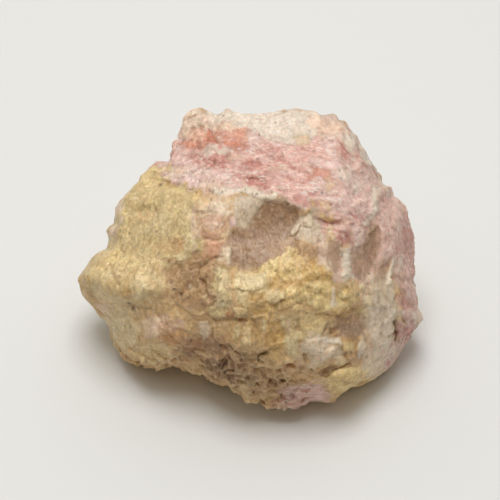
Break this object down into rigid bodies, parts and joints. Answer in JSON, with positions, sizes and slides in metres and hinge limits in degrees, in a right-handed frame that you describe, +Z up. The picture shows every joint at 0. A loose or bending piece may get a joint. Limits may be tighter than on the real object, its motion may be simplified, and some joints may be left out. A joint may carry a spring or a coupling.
{
  "type": "pink tourmaline with quartz stone",
  "caption": "Rough natural stone of pink tourmaline grown into milky and iron-stained quartz, lying on its flattest broken face.",
  "frame": {"origin": "on the flat face that the stone rests on, under the middle of the stone's outline as seen from above", "axes": "+Z up from the resting face; +X to the right along the stone's longest side, with the tourmaline slab at the top and the show face looking up and towards -Y"},
  "size_m": [0.0598, 0.0412, 0.0399],
  "materials": {
    "stone": "matte"
  },
  "bodies": {
    "root": {"stone": "stone"}
  },
  "joints": []
}
